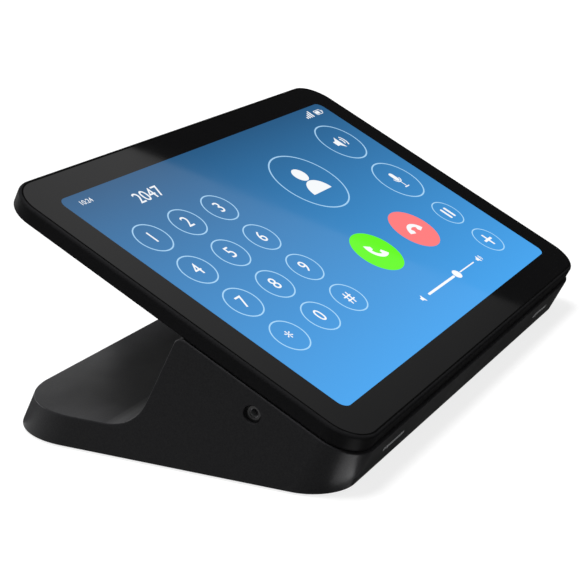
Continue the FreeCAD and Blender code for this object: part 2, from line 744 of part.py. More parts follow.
flange_x = "(dims.grille_wide + 2 * dims.grille_lap)"
flange_z = "(dims.grille_high + 2 * dims.slot_end)"
grille = plate("grille", ("dims.grille_wide", "dims.grille_high", "(dims.wall + dims.flange_thick)"),
               "dims.grille_corner", on_panel("0", "-dims.neck_drop", "-dims.grille_drop"), FACE_NECK)
flange = draw(grille, "XY_Plane",
              rectangle(f"-{flange_x} / 2", f"-{flange_z} / 2", f"{flange_x} / 2", f"{flange_z} / 2"),
              "grille_flange")
flange.setExpression("AttachmentOffset.Base.z", "-dims.wall")
pad(grille, flange, "dims.flange_thick")
slot_run = "(dims.grille_wide - 2 * dims.grille_corner)"
slot_half = "(dims.grille_high / 2 - dims.slot_end)"
slot = draw(grille, "XY_Plane",
            rectangle(f"-({slot_run} + dims.grille_slot) / 2", f"-{slot_half}",
                      f"-({slot_run} - dims.grille_slot) / 2", slot_half), "grille_slot")
doc.recompute()
slot_cut = grille.newObject("PartDesign::Pocket", "SlotCut")
slot_cut.Profile = slot
slot_cut.Type = "ThroughAll"
doc.recompute()
slot_row = grille.newObject("PartDesign::LinearPattern", "SlotRow")
slot_row.Originals = [slot_cut]
slot_row.Direction = (slot, ["H_Axis"])
slot_row.setExpression("Length", slot_run)
slot_row.Occurrences = GRILLE_SLOTS
grille.Tip = slot_row
finish(grille, "speaker_grille")
grille_window = plate("grille_window",
                      ("(dims.grille_wide + dims.fit_gap)", "(dims.grille_high + dims.fit_gap)",
                       f"(dims.wall + 2 * {OVER})"),
                      "dims.grille_corner", on_panel("0", f"-dims.neck_drop + {OVER}", "-dims.grille_drop"),
                      FACE_NECK)

grille_back = f"({neck_inside} + dims.flange_thick)"
speaker_front = f"({grille_back} + dims.gasket_thick)"
cone_radius = "(dims.speaker_radius - dims.gasket_wide)"


def behind_neck(sign, depth):
    """A point on the axis of one side's loudspeaker, by its depth behind the screen's centre line."""
    return on_panel(f"{sign} * dims.speaker_across", f"-({depth})", "-dims.grille_drop")


for side, sign in SIDES.items():
    ring = rod(f"gasket_{side}_ring", "dims.speaker_radius", "dims.gasket_thick",
               behind_neck(sign, speaker_front), FACE_NECK)
    ring_hole = rod(f"gasket_{side}_hole", cone_radius, f"dims.gasket_thick + 2 * {OVER}",
                    behind_neck(sign, f"{speaker_front} + {OVER}"), FACE_NECK)
    finish(cut(f"gasket_{side}", ring, [ring_hole]), f"speaker_gasket_{side}")
    basket = rod(f"basket_{side}", "dims.speaker_radius", "dims.speaker_deep / 2",
                 behind_neck(sign, f"{speaker_front} + dims.speaker_deep / 2"), FACE_NECK)
    magnet = rod(f"magnet_{side}", "dims.speaker_radius * 0.7", f"dims.speaker_deep / 2 + {OVER} / 2",
                 behind_neck(sign, f"{speaker_front} + dims.speaker_deep"), FACE_NECK)
    dish = doc.addObject("Part::Cone", f"dish_{side}")
    dish.setExpression("Radius1", "dims.speaker_radius * 0.3")
    dish.setExpression("Radius2", cone_radius)
    dish.setExpression("Height", "dims.speaker_deep / 3")
    place(dish, behind_neck(sign, f"{speaker_front} + dims.speaker_deep / 3"), FACE_NECK)
    finish(cut(f"speaker_{side}", join(f"speaker_{side}_blank", [basket, magnet]), [dish]),
           f"loudspeaker_{side}")


# Sockets over the cable bay

io_top = "(dims.io_height + dims.board_thick)"
post_across = "(dims.bay_half + dims.flange_wide + dims.post_gap + dims.post_radius)"
io_half = f"({post_across} + dims.board_screw_inset)"
io_board = span("io_blank", (f"-{io_half}", io_half), ("-dims.io_front", "dims.io_rear"),
                ("dims.io_height", io_top))
posts = []
post_holes = []
io_holes = []
io_screws = []
io_places = [(f"{side} * {post_across}", y) for side in (-1, 1)
             for y in ("-dims.io_front + dims.board_screw_inset", "dims.io_rear - dims.board_screw_inset")]
for number, (x, y) in enumerate(io_places, start=1):
    down_from_board = desk_stack(x, y, io_top, "-1")
    posts.append(rod(f"io_post_{number}", "dims.post_radius", f"dims.io_height - {plate_top} + {OVER} / 2",
                     on_desk(x, y, f"{plate_top} - {OVER} / 2")))
    post_holes.append(rod(f"io_post_hole_{number}", "dims.screw_radius", f"dims.post_bite + {OVER}",
                          on_desk(x, y, "dims.io_height - dims.post_bite")))
    io_holes.append(rod(f"io_hole_{number}", "dims.screw_radius + dims.slack",
                        f"dims.board_thick + 2 * {OVER}", on_desk(x, y, f"dims.io_height - {OVER}")))
    io_screws.append(screw(f"io_screw_{number}", down_from_board, "dims.post_bite", "180"))
finish(cut("io_drilled", io_board, io_holes), "io_board")
finish(group("io_screw_set", io_screws), "io_board_screws")

network_x = "-dims.network_across"
network_mid = "(dims.io_height - dims.network_high / 2)"
network_body = block("network_body", ("dims.network_wide", "dims.network_deep", "dims.network_high"),
                     (network_x, "dims.io_rear - dims.network_deep / 2", network_mid), tilted=False)
network_mouth = block("network_mouth",
                      ("dims.network_mouth_wide", "2 * dims.network_mouth_deep", "dims.network_mouth_high"),
                      (network_x, "dims.io_rear", network_mid), tilted=False)
latch_z = f"({network_mid} - dims.network_mouth_high / 2 - dims.latch_high / 4)"
latch_notch = block("latch_notch",
                    ("dims.network_mouth_wide / 2", "2 * dims.network_mouth_deep", "dims.latch_high"),
                    (network_x, "dims.io_rear", latch_z), tilted=False)
finish(cut("network", network_body, [network_mouth, latch_notch]), "network_socket")

usb_x = "dims.usb_across"
usb_mid = "(dims.io_height - dims.usb_high / 2)"
usb_body = block("usb_body", ("dims.usb_wide", "dims.usb_deep", "dims.usb_high"),
                 (usb_x, "dims.io_rear - dims.usb_deep / 2", usb_mid), tilted=False)
usb_mouth = block("usb_mouth",
                  ("dims.usb_wide - 2 * dims.usb_shell", "dims.usb_deep - dims.usb_shell",
                   "dims.usb_high - 2 * dims.usb_shell"),
                  (usb_x, "dims.io_rear - dims.usb_deep / 2 + dims.usb_shell", usb_mid), tilted=False)
usb_tongue = block("usb_tongue", ("dims.tongue_wide", f"dims.usb_deep - {OVER}", "dims.tongue_thick"),
                   (usb_x, "dims.io_rear - dims.usb_deep / 2", usb_mid), tilted=False)
finish(join("usb", [cut("usb_shell_cut", usb_body, [usb_mouth]), usb_tongue]), "usb_socket")


# Reset button in the underside

reset_x = "dims.reset_across"
reset_y = "-dims.bay_front - dims.reset_ahead"
reset_low = f"({plate_low} + dims.reset_sink)"
reset_top = "(dims.io_height - dims.switch_deep - dims.reset_travel - dims.button_gap)"
reset_pin = rod("reset_pin", "dims.reset_radius", f"{reset_top} - {reset_low}",
                on_desk(reset_x, reset_y, reset_low))
reset_collar = rod("reset_collar", "dims.reset_radius + dims.collar_lap", "dims.collar_thick",
                   on_desk(reset_x, reset_y, f"{plate_top} + dims.button_gap"))
finish(join("reset", [reset_pin, reset_collar]), "reset_button")
reset_hole = rod("reset_hole", "dims.reset_radius + dims.button_gap", f"dims.plate_thick + 2 * {OVER}",
                 on_desk(reset_x, reset_y, f"{plate_low} - {OVER}"))
reset_switch = block("reset_switch_body", ("dims.switch_size", "dims.switch_size", "dims.switch_deep"),
                     (reset_x, reset_y, "dims.io_height - dims.switch_deep / 2"), tilted=False)
finish(reset_switch, "reset_switch")


# Cable cover: the bay's floor and the part of the rear wall above its end

far_back = f"({rear_reach} + 2 * {DEEP})"
tail_back = "dims.bay_wall_from"
cover_floor_form = span("cover_floor_form", ("-dims.bay_half", "dims.bay_half"),
                        ("-dims.bay_front", far_back), (plate_low, f"{plate_top} - dims.fit_gap / 2"))
cover_wall_form = span("cover_wall_form", ("-dims.bay_half", "dims.bay_half"), (tail_back, far_back),
                       (plate_low, "dims.bay_high"))
cover_pieces = [common("cover_floor", outer, cover_floor_form), common("cover_wall", walls, cover_wall_form)]
flange_low = f"({plate_top} + dims.fit_gap)"
flange_top = f"({flange_low} + dims.flange_thick)"
rail_inside = "(dims.bay_half - dims.rail_thick)"
rail_end = f"({desk_y_at('dims.base_rear - dims.wall', plate_top)} - dims.bay_travel - dims.flange_wide)"
for side, sign in SIDES.items():
    cover_pieces.append(span(f"rail_{side}", side_span(sign, rail_inside, "dims.bay_half"), ("0", rail_end),
                             (f"{plate_top} - {OVER}", flange_top)))
    cover_pieces.append(span(f"rail_flange_{side}",
                             side_span(sign, rail_inside, "dims.bay_half + dims.flange_wide"),
                             ("0", rail_end), (flange_low, flange_top)))
outlet = span("outlet", ("-dims.outlet_half", "dims.outlet_half"), (tail_back, far_back),
              (plate_top, f"{plate_top} + dims.outlet_high"))
finish(cut("bay_cover", join("bay_cover_blank", cover_pieces), [outlet]), "cable_cover")
bay_notch = span("bay_notch", ("-dims.bay_half - dims.fit_gap", "dims.bay_half + dims.fit_gap"),
                 (tail_back, far_back), (f"-{DEEP}", "dims.bay_high + dims.fit_gap"))
bay_opening = span("bay_opening", ("-dims.bay_half - dims.fit_gap", "dims.bay_half + dims.fit_gap"),
                   ("-dims.bay_front - dims.fit_gap", far_back), (f"-{DEEP}", f"{plate_top} + {DEEP}"))


# Security-lock slot in the right wall of the tail

tail_ceiling = "(dims.foot_stand + dims.tail_height - dims.wall)"
lock_z = f"(({plate_top} + {tail_ceiling}) / 2)"
lock_slot = block("lock_slot", (f"6 * {DEEP}", "dims.lock_long", "dims.lock_high"),
                  (base_half, "dims.lock_along", lock_z), tilted=False)
lock_blank = block("lock_blank", ("dims.lock_plate_thick", "dims.lock_long + 2 * dims.lock_plate_lap",
                                  f"{tail_ceiling} - {plate_top} - 2 * dims.fit_gap"),
                   (f"{wall_inside} - dims.lock_plate_thick / 2", "dims.lock_along", lock_z), tilted=False)
finish(cut("lock_cut", lock_blank, [lock_slot]), "lock_plate")


# Base shell, base plate, weights and feet

shell_cuts = display_holes + boss_holes + mic_holes + [ribbon_slot, jack_recess, jack_hole, power_hole,
                                                       grille_window, bay_notch, lock_slot]
finish(cut("shell", join("shell_blank", [walls] + bosses), shell_cuts), "base_shell")

plate_slab = span("plate_slab", (f"-{base_half}", base_half), (f"-{front_reach}", far_back),
                  (plate_low, plate_top))
foot_across = f"({base_half} - dims.foot_inset)"
feet_holes = []
for end, foot_y in (("front", "-dims.foot_front"), ("rear", "dims.foot_rear")):
    for side, sign in SIDES.items():
        x = f"{sign} * {foot_across}"
        foot = rod(f"foot_{end}_{side}", "dims.foot_radius", f"{plate_low} + dims.foot_pocket",
                   on_desk(x, foot_y, "0"))
        finish(foot, f"rubber_foot_{end}_{side}")
        feet_holes.append(rod(f"foot_hole_{end}_{side}", "dims.foot_radius + dims.slack",
                              f"dims.foot_pocket + {OVER}", on_desk(x, foot_y, f"{plate_low} - {OVER}")))
plate_blank = common("plate_blank", plate_form, plate_slab)
plate_open = cut("plate_open", plate_blank, [bay_opening] + plate_holes + feet_holes + [reset_hole])
finish(cut("plate_done", join("plate_posts", [plate_open] + posts), post_holes), "base_plate")

ballast = block("ballast", (f"2 * {foot_across}", "dims.ballast_deep", "dims.ballast_thick"),
                ("0", "-dims.foot_front + dims.ballast_deep / 2", f"{plate_top} + dims.ballast_thick / 2"),
                tilted=False)
finish(ballast, "ballast_front")
for side, sign in SIDES.items():
    weight = block(f"weight_{side}", ("dims.tail_weight_wide", "dims.tail_weight_deep", "dims.ballast_thick"),
                   (f"{sign} * (dims.bay_half + 2 * {DEEP} + dims.tail_weight_wide / 2)",
                    "dims.foot_rear - dims.tail_weight_deep / 2",
                    f"{plate_top} + dims.ballast_thick / 2"), tilted=False)
    finish(weight, f"ballast_{side}")


# Checks and files

doc.recompute()
for item in doc.Objects:
    if "Invalid" in item.State or "Error" in item.State:
        raise RuntimeError(f"{item.Label} failed: {item.State}")
for item in finished:
    if item.Shape.isNull() or not item.Shape.isValid():
        raise RuntimeError(f"{item.Label} has no valid shape")

os.makedirs("parts", exist_ok=True)
for item in finished:
    item.Shape.exportStep(f"parts/{item.Label}.step")
    print(item.Label, len(item.Shape.Solids), round(item.Shape.Volume, 1))
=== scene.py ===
import json
import math
import bmesh
import bpy
from mathutils import Matrix, Vector


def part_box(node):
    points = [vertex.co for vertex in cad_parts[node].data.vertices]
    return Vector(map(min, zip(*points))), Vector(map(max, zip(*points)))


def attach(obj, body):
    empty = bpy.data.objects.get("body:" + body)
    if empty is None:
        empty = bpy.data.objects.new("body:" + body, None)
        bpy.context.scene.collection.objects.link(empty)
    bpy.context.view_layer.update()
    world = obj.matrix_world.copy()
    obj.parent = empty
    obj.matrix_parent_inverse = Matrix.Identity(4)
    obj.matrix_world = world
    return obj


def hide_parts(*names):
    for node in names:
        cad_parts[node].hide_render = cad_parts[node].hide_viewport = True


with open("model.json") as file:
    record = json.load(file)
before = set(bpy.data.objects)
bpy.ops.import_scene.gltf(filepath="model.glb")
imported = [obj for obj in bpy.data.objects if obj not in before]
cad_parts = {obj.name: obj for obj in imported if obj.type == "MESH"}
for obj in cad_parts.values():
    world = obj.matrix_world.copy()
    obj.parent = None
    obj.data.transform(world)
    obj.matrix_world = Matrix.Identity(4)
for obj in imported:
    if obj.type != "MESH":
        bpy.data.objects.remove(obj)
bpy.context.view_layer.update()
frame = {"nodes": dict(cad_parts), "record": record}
nodes = frame["nodes"]
mm = 0.001
print("frame loaded:", len(nodes), "nodes")

# the panel axes lie on the cover glass: x right, y up the screen, z out of the glass
slab = {"tilt": 28.3, "glassThick": 1.1}
tilt = math.radians(slab["tilt"])
panelTurn = Matrix.Rotation(tilt, 4, "X")
panelOut = Vector((0, -math.sin(tilt), math.cos(tilt)))
glassLow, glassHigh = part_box("cover_glass")
panelOrigin = (glassLow + glassHigh) / 2 + panelOut * (slab["glassThick"] / 2 * mm)
panelPlace = Matrix.Translation(panelOrigin) @ panelTurn @ Matrix.Scale(mm, 4)
deskPlace = Matrix.Scale(mm, 4)


def panelPoint(x, y, z=0.0):
    return panelPlace @ Vector((x, y, z))


# camera, fitted to the corners of the screen and the foot of the base
shot = {"offset": (-539.6, -271.6, 162.6), "azimuth": -61.70, "elevation": 17.48, "roll": -1.59, "lens": 90.3,
        "sensor": 36, "clipStart": 0.01}


def aimCamera():
    around, up, roll = (math.radians(shot[key]) for key in ("azimuth", "elevation", "roll"))
    back = Vector((math.sin(around) * math.cos(up), -math.cos(around) * math.cos(up), math.sin(up)))
    right = (-back).cross(Vector((0, 0, 1))).normalized()
    high = right.cross(-back)
    across = right * math.cos(roll) + high * math.sin(roll)
    over = high * math.cos(roll) - right * math.sin(roll)
    camera = bpy.data.objects.new("camera", bpy.data.cameras.new("camera"))
    camera.data.lens = shot["lens"]
    camera.data.sensor_width = shot["sensor"]
    camera.data.clip_start = shot["clipStart"]
    camera.matrix_world = Matrix.Translation(panelOrigin + Vector(shot["offset"]) * mm) @ Matrix(
        (across, over, back)).transposed().to_4x4()
    bpy.context.scene.collection.objects.link(camera)
    bpy.context.scene.camera = camera
    return camera


camera = aimCamera()


# materials

def linear(code):  # sRGB hex to linear colour
    parts = [int(code[i:i + 2], 16) / 255 for i in (1, 3, 5)]
    return tuple(p / 12.92 if p <= 0.04045 else ((p + 0.055) / 1.055) ** 2.4 for p in parts) + (1.0,)


def addNode(tree, kind, inputs=None, **settings):  # a node, its settings, and its links or fixed values
    node = tree.nodes.new(kind)
    for key, setting in settings.items():
        setattr(node, key, setting)
    for key, given in (inputs or {}).items():
        if isinstance(given, bpy.types.NodeSocket):
            tree.links.new(given, node.inputs[key])
        else:
            node.inputs[key].default_value = given
    return node


def newMaterial(name):
    material = bpy.data.materials.new(name)
    material.use_nodes = True
    tree = material.node_tree
    return material, tree, tree.nodes["Principled BSDF"]


noiseSpan = {"low": 0.3, "high": 0.7}  # most of a noise's values lie between these


def softGloss(tree, shader, where, roughness, patch, depth):  # broad soft patches in the gloss
    broad = addNode(tree, "ShaderNodeTexNoise", {"Vector": where, "Scale": 1 / (patch * mm), "Detail": 2.0})
    gloss = addNode(tree, "ShaderNodeMapRange", {
        "Value": broad.outputs["Fac"], "From Min": noiseSpan["low"], "From Max": noiseSpan["high"],
        "To Min": roughness - depth, "To Max": roughness + depth})
    tree.links.new(gloss.outputs["Result"], shader.inputs["Roughness"])


def surface(name, dark, light, roughness, grain, bump, patch=30.0, patchDepth=0.05, level=0.5, metallic=0.0):
    # moulded or machined finish: a fine grain for bump and tone; grain and patch in millimetres
    material, tree, shader = newMaterial(name)
    where = addNode(tree, "ShaderNodeTexCoord").outputs["Object"]
    fine = addNode(tree, "ShaderNodeTexNoise", {"Vector": where, "Scale": 1 / (grain * mm), "Detail": 3.0})
    ramp = addNode(tree, "ShaderNodeValToRGB", {"Fac": fine.outputs["Fac"]})
    for stop, key, code in zip(ramp.color_ramp.elements, ("low", "high"), (dark, light)):
        stop.position = noiseSpan[key]
        stop.color = linear(code)
    relief = addNode(tree, "ShaderNodeBump", {"Height": fine.outputs["Fac"], "Strength": bump,
                                              "Distance": grain * mm * 0.1})
    tree.links.new(ramp.outputs["Color"], shader.inputs["Base Color"])
    tree.links.new(relief.outputs["Normal"], shader.inputs["Normal"])
    softGloss(tree, shader, where, roughness, patch, patchDepth)
    shader.inputs["Specular IOR Level"].default_value = level
    shader.inputs["Metallic"].default_value = metallic
    return material


# spark-eroded ABS: near black, a grain that only shows close up, no clear reflections
shellPlastic = surface("spark_eroded_black_abs", "#252527", "#2d2d2e", 0.38, 0.6, 0.2, level=0.04)
# satin polycarbonate: darker and less grained than the base, with hardly any sheen
framePlastic = surface("satin_black_polycarbonate", "#1b1b1c", "#212122", 0.4, 0.5, 0.08, level=0.006)
# float glass over black ink: deep black, a clear reflection, faint finger marks in the gloss
glass = {"ink": "#050506", "paleInk": "#060607", "roughness": 0.05, "marks": 22.0, "markDepth": 0.015}
coverGlass = surface("printed_cover_glass", glass["ink"], glass["paleInk"], glass["roughness"], 18.0, 0.0,
                     patch=glass["marks"], patchDepth=glass["markDepth"])
# satin silver lacquer, near white: on the microphone trims it is a painted highlight, a pale line that stays
# bright where no lamp is mirrored; on the on-off sign it is the sign's print
lacquerAndPaintedHighlight = surface("silver_lacquer_and_painted_highlight", "#eceef0", "#f5f6f7", 0.34, 0.3, 0.1, level=0.5)
# nylon with glass fibre: dark grey with a soft sheen
jackNylon = surface("glass_filled_nylon", "#1c1c1d", "#222223", 0.45, 0.5, 0.1, level=0.4)
# rubber and foam: flat black with little sheen
footRubber = surface("moulded_rubber", "#171718", "#1d1d1e", 0.75, 0.5, 0.3, level=0.2)
foamBlack = surface("closed_cell_foam", "#101010", "#181818", 0.9, 0.4, 0.5, level=0.1)
# polariser film: a blue-black satin sheet
lcdSheet = surface("lcd_polariser", "#0a0c10", "#0c0e12", 0.25, 2.0, 0.02)
# tinned steel, blackened screws and rolled aluminium: grey metal from bright to dark
sheetSteel = surface("tinned_steel", "#8d9092", "#a0a3a5", 0.3, 0.6, 0.1, metallic=1.0)
screwSteel = surface("black_zinc_screw_steel", "#2a2b2d", "#38393b", 0.35, 0.4, 0.1, metallic=1.0)
spreaderMetal = surface("rolled_aluminium", "#9fa2a5", "#b0b3b5", 0.32, 0.5, 0.1, metallic=1.0)
# solder mask and moulded chips, seen through the cable bay
boardGreen = surface("solder_mask_board", "#0c3b22", "#0f4729", 0.4, 1.2, 0.1)
chipEpoxy = surface("chip_epoxy", "#141416", "#1b1b1d", 0.6, 0.4, 0.2)

# the satin trims take the near-white lacquer: a painted highlight along both microphone slits
finishOf = {"cover_glass": coverGlass, "black_gloss": framePlastic, "black_matte": shellPlastic,
            "satin_trim": lacquerAndPaintedHighlight, "jack_plastic": jackNylon, "rubber": footRubber, "foam": foamBlack,
            "lcd": lcdSheet, "steel": sheetSteel, "screw_steel": screwSteel, "board": boardGreen,
            "chip": chipEpoxy, "heat_spreader": spreaderMetal}


def dressNode(name, material):
    slots = nodes[name].data.materials
    slots.clear()
    slots.append(material)


for part in frame["record"]["subparts"]:
    dressNode(part["node"], finishOf[part["material_slot"]])
print("nodes dressed")


# flat shapes for the lit picture on the screen, in panel millimetres

def circleLoop(x, y, radius, points=64):
    return [(x + radius * math.cos(math.tau * i / points), y + radius * math.sin(math.tau * i / points))
            for i in range(points)]


def roundBar(x, y, width, height, radius, points=10):
    loop = []
    for quarter, (sx, sy) in enumerate(((1, 1), (-1, 1), (-1, -1), (1, -1))):
        for i in range(points + 1):
            turn = math.pi / 2 * (quarter + i / points)
            loop.append((x + sx * (width / 2 - radius) + radius * math.cos(turn),
                         y + sy * (height / 2 - radius) + radius * math.sin(turn)))
    return loop


def strokeLoop(path, width, points=8):  # an outline with round ends round an open path
    normals = []
    for i, point in enumerate(path):
        before, after = path[max(i - 1, 0)], path[min(i + 1, len(path) - 1)]
        run = Vector((after[0] - before[0], after[1] - before[1])).normalized()
        normals.append(Vector((-run.y, run.x)))
    left = [Vector(p) + n * width / 2 for p, n in zip(path, normals)]
    right = [Vector(p) - n * width / 2 for p, n in zip(path, normals)]

    def cap(centre, normal, sign):
        start = math.atan2(normal.y, normal.x)
        return [Vector(centre) + Vector((math.cos(start - sign * math.pi * i / points),
                                         math.sin(start - sign * math.pi * i / points))) * width / 2
                for i in range(1, points)]

    loop = left + cap(path[-1], normals[-1], 1) + right[::-1] + cap(path[0], -normals[0], 1)
    return [tuple(p) for p in loop]


def arcPath(x, y, radius, start, end, points=24):  # degrees
    turns = [math.radians(start + (end - start) * i / points) for i in range(points + 1)]
    return [(x + radius * math.cos(turn), y + radius * math.sin(turn)) for turn in turns]


def handsetLoop(x, y, size, turn):
    rim = arcPath(0, 0, 0.80, 14, 166) + arcPath(0, 0, 0.32, 166, 130, 6)
    rim += arcPath(0, 0, 0.52, 127, 53) + arcPath(0, 0, 0.32, 50, 14, 6)
    c, s = math.cos(math.radians(turn)), math.sin(math.radians(turn))
    return [(x + size * (c * u - s * (v - 0.38)), y + size * (s * u + c * (v - 0.38))) for u, v in rim]


def microphoneLoops(x, y, size):
    line = 0.10 * size
    stem = [(x, y - 0.82 * size), (x, y - 0.42 * size)]
    stand = [(x - 0.3 * size, y - 0.95 * size), (x + 0.3 * size, y - 0.95 * size)]
    return [roundBar(x, y + 0.30 * size, 0.52 * size, size, 0.255 * size),
            strokeLoop(arcPath(x, y + 0.16 * size, 0.46 * size, 190, 350), line),
            strokeLoop(stem, line), strokeLoop(stand, line)]


def speakerLoops(x, y, size, waves):
    horn = [(-0.75, -0.22), (-0.45, -0.22), (-0.08, -0.55), (-0.08, 0.55), (-0.45, 0.22), (-0.75, 0.22)]
    loops = [[(x + size * u, y + size * v) for u, v in horn]]
    for wave in range(waves):
        reach = (0.32 + 0.26 * wave) * size
        loops.append(strokeLoop(arcPath(x, y, reach, -42, 42, 12), 0.11 * size))
    return loops


def personLoops(x, y, size):
    chest = y - 0.78 * size
    shoulders = [(u, max(v, chest)) for u, v in arcPath(x, chest, 0.72 * size, 0, 180)]
    return [circleLoop(x, y + 0.36 * size, 0.38 * size, 40), shoulders]


def plusLoop(x, y, size, width):
    thin, reach = width / 2, size / 2
    corners = ((thin, thin), (thin, reach), (-thin, reach), (-thin, thin), (-reach, thin), (-reach, -thin),
               (-thin, -thin), (-thin, -reach), (thin, -reach), (thin, -thin), (reach, -thin), (reach, thin))
    return [(x + u, y + v) for u, v in corners]


def newPiece(name, mesh, material, body="base", replaced=()):
    mesh.materials.clear()
    mesh.materials.append(material)
    piece = bpy.data.objects.new(name, mesh)
    bpy.context.scene.collection.objects.link(piece)
    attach(piece, body)
    if replaced:
        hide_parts(*replaced)
    return piece


def meshFrom(source):  # a plain mesh of a curve, a text or a node tree's result
    bpy.context.scene.collection.objects.link(source)
    bpy.context.view_layer.update()
    depsgraph = bpy.context.evaluated_depsgraph_get()
    mesh = bpy.data.meshes.new_from_object(source.evaluated_get(depsgraph), depsgraph=depsgraph)
    bpy.data.objects.remove(source)
    return mesh


def flatSolid(loops, low, high):  # nested loops are holes
    curve = bpy.data.curves.new("outline", "CURVE")
    curve.dimensions = "2D"
    curve.fill_mode = "BOTH"
    curve.extrude = (high - low) / 2
    for loop in loops:
        spline = curve.splines.new("POLY")
        spline.points.add(len(loop) - 1)
        for point, (x, y) in zip(spline.points, loop):
            point.co = (x, y, 0, 1)
        spline.use_cyclic_u = True
    mesh = meshFrom(bpy.data.objects.new("outline", curve))
    mesh.transform(Matrix.Translation((0, 0, (low + high) / 2)))
    return mesh


def digitSolid(text, x, y, size, low, high):
    letters = bpy.data.curves.new("digits", "FONT")
    letters.body = text
    letters.size = size
    letters.align_x = "CENTER"
    letters.align_y = "CENTER"
    letters.extrude = (high - low) / 2
    letters.resolution_u = 4
    mesh = meshFrom(bpy.data.objects.new("digits", letters))
    mesh.transform(Matrix.Translation((x, y, (low + high) / 2)))
    return mesh


def joined(name, meshes, place):  # one mesh, welded and facing out, at its place in metres
    bm = bmesh.new()
    for mesh in meshes:
        bm.from_mesh(mesh)
        bpy.data.meshes.remove(mesh)
    bmesh.ops.remove_doubles(bm, verts=bm.verts, dist=1e-5)
    bmesh.ops.recalc_face_normals(bm, faces=bm.faces)
    result = bpy.data.meshes.new(name)
    bm.to_mesh(result)
    bm.free()
    result.transform(place)
    return result


def litGlass(name, foot, head):  # pixels behind bonded glass: light of their own under the glass's gloss
    material, tree, shader = newMaterial(name)
    where = addNode(tree, "ShaderNodeTexCoord").outputs["Object"]
    flat = addNode(tree, "ShaderNodeMapping", {"Vector": where, "Rotation": (-tilt, 0, 0)})
    local = panelTurn.inverted() @ panelOrigin
    rise = addNode(tree, "ShaderNodeSeparateXYZ", {"Vector": flat.outputs["Vector"]})
    half = screen["height"] / 2 * mm
    level = addNode(tree, "ShaderNodeMapRange", {"Value": rise.outputs["Y"], "From Min": local.y - half,
                                                 "From Max": local.y + half})
    ramp = addNode(tree, "ShaderNodeValToRGB", {"Fac": level.outputs["Result"]})
    ramp.color_ramp.elements[0].color = linear(foot)
    ramp.color_ramp.elements[1].color = linear(head)
    tree.links.new(ramp.outputs["Color"], shader.inputs["Emission Color"])
    shader.inputs["Emission Strength"].default_value = 1.0
    softGloss(tree, shader, where, glass["roughness"], glass["marks"], glass["markDepth"])
    shader.inputs["Base Color"].default_value = linear(glass["ink"])
    return material


# a plain call screen: dial pad, two solid call keys, ring keys, a volume slider and a status row
screen = {"width": 217.0, "height": 135.6, "corner": 4.0, "picture": (-0.02, 0.03), "keys": (0.02, 0.05),
          "marks": (0.02, 0.07), "bigKey": 14.0, "bigLine": 0.75, "smallKey": 8.6, "smallLine": 0.6,
          "padColumns": (-90, -65, -40), "padRows": (34, 12, -10, -32), "padDigits": "123456789*0#",
          "digitSize": 9.0, "starDrop": 1.2, "number": ("2047", -65, 54, 9.0),
          "clock": ("10:24", -97, 62.3, 3.6), "caller": (28, 27), "callerKey": 20, "person": 11.5,
          "personRise": 1, "sideColumn": 84, "sideRows": (40, 6, -23, -46), "sideMark": 7.5,
          "microphone": 6.2, "microphoneRise": 0.4, "pauseBar": (1.7, 7, 0.6), "pauseApart": 1.9,
          "plusLine": 1.3, "callColumn": 8, "endColumn": 48, "callRow": -21, "callKey": 13.0, "handset": 8.2}
# thick and thin: height and corner of the slider's bar on each side of the knob
slider = {"row": -51, "left": 2, "right": 54, "knob": 34, "radius": 2.6, "gap": 3.2, "thick": (1.2, 0.55),
          "thin": (0.6, 0.28), "mark": 3.6, "markLeft": 5, "markRight": 6.5}
# battery: place, width, height and corner of its shell, hollow, charge and cap
status = {"row": 62.3, "bars": 86, "barStep": 2, "barGrow": 1.1, "barWide": 1.1, "barLow": 1.4, "corner": 0.3,
          "battery": ((99, 6.4, 3.4, 0.8), (99, 5.7, 2.7, 0.55), (98.3, 3.6, 1.9, 0.3),
                      (102.9, 0.7, 1.6, 0.3))}


def ringLoops(x, y, radius, line):
    return [circleLoop(x, y, radius), circleLoop(x, y, radius - line)]


def dialPad():
    rings, digits = [], []
    places = [(x, y) for y in screen["padRows"] for x in screen["padColumns"]]
    for (x, y), digit in zip(places, screen["padDigits"]):
        rings += ringLoops(x, y, screen["smallKey"], screen["smallLine"])
        digits.append((digit, x, y - (screen["starDrop"] if digit == "*" else 0), screen["digitSize"]))
    return rings, digits + [screen["number"], screen["clock"]]


def sideKeys():  # loudspeaker, microphone, pause and plus
    x, rows, mark = screen["sideColumn"], screen["sideRows"], screen["sideMark"]
    big, small = (screen["bigKey"], screen["bigLine"]), (screen["smallKey"], screen["smallLine"])
    rings = []
    for y, size in zip(rows, (big, big, small, small)):
        rings += ringLoops(x, y, *size)
    marks = speakerLoops(x, rows[0], mark, 2)
    marks += microphoneLoops(x, rows[1] + screen["microphoneRise"], screen["microphone"])
    marks += [roundBar(x + side * screen["pauseApart"], rows[2], *screen["pauseBar"]) for side in (-1, 1)]
    return rings, marks + [plusLoop(x, rows[3], mark, screen["plusLine"])]


def sliderMarks():
    row, left, right, knob, gap = (slider[key] for key in ("row", "left", "right", "knob", "gap"))
    return [circleLoop(knob, row, slider["radius"], 40),
            roundBar((left + knob - gap) / 2, row, knob - gap - left, *slider["thick"]),
            roundBar((knob + gap + right) / 2, row, right - knob - gap, *slider["thin"]),
            *speakerLoops(left - slider["markLeft"], row, slider["mark"], 0),
            *speakerLoops(right + slider["markRight"], row, slider["mark"], 2)]


def statusMarks():  # four signal bars and a battery
    row, grow = status["row"], status["barGrow"]
    bars = [roundBar(status["bars"] + status["barStep"] * i, row - grow + grow / 2 * i, status["barWide"],
                     status["barLow"] + grow * i, status["corner"]) for i in range(4)]
    return bars + [roundBar(x, row, *sizes) for x, *sizes in status["battery"]]


def litPiece(name, meshes, light, foot, head):
    newPiece(name, joined(name, meshes, panelPlace), litGlass(light, foot, head))


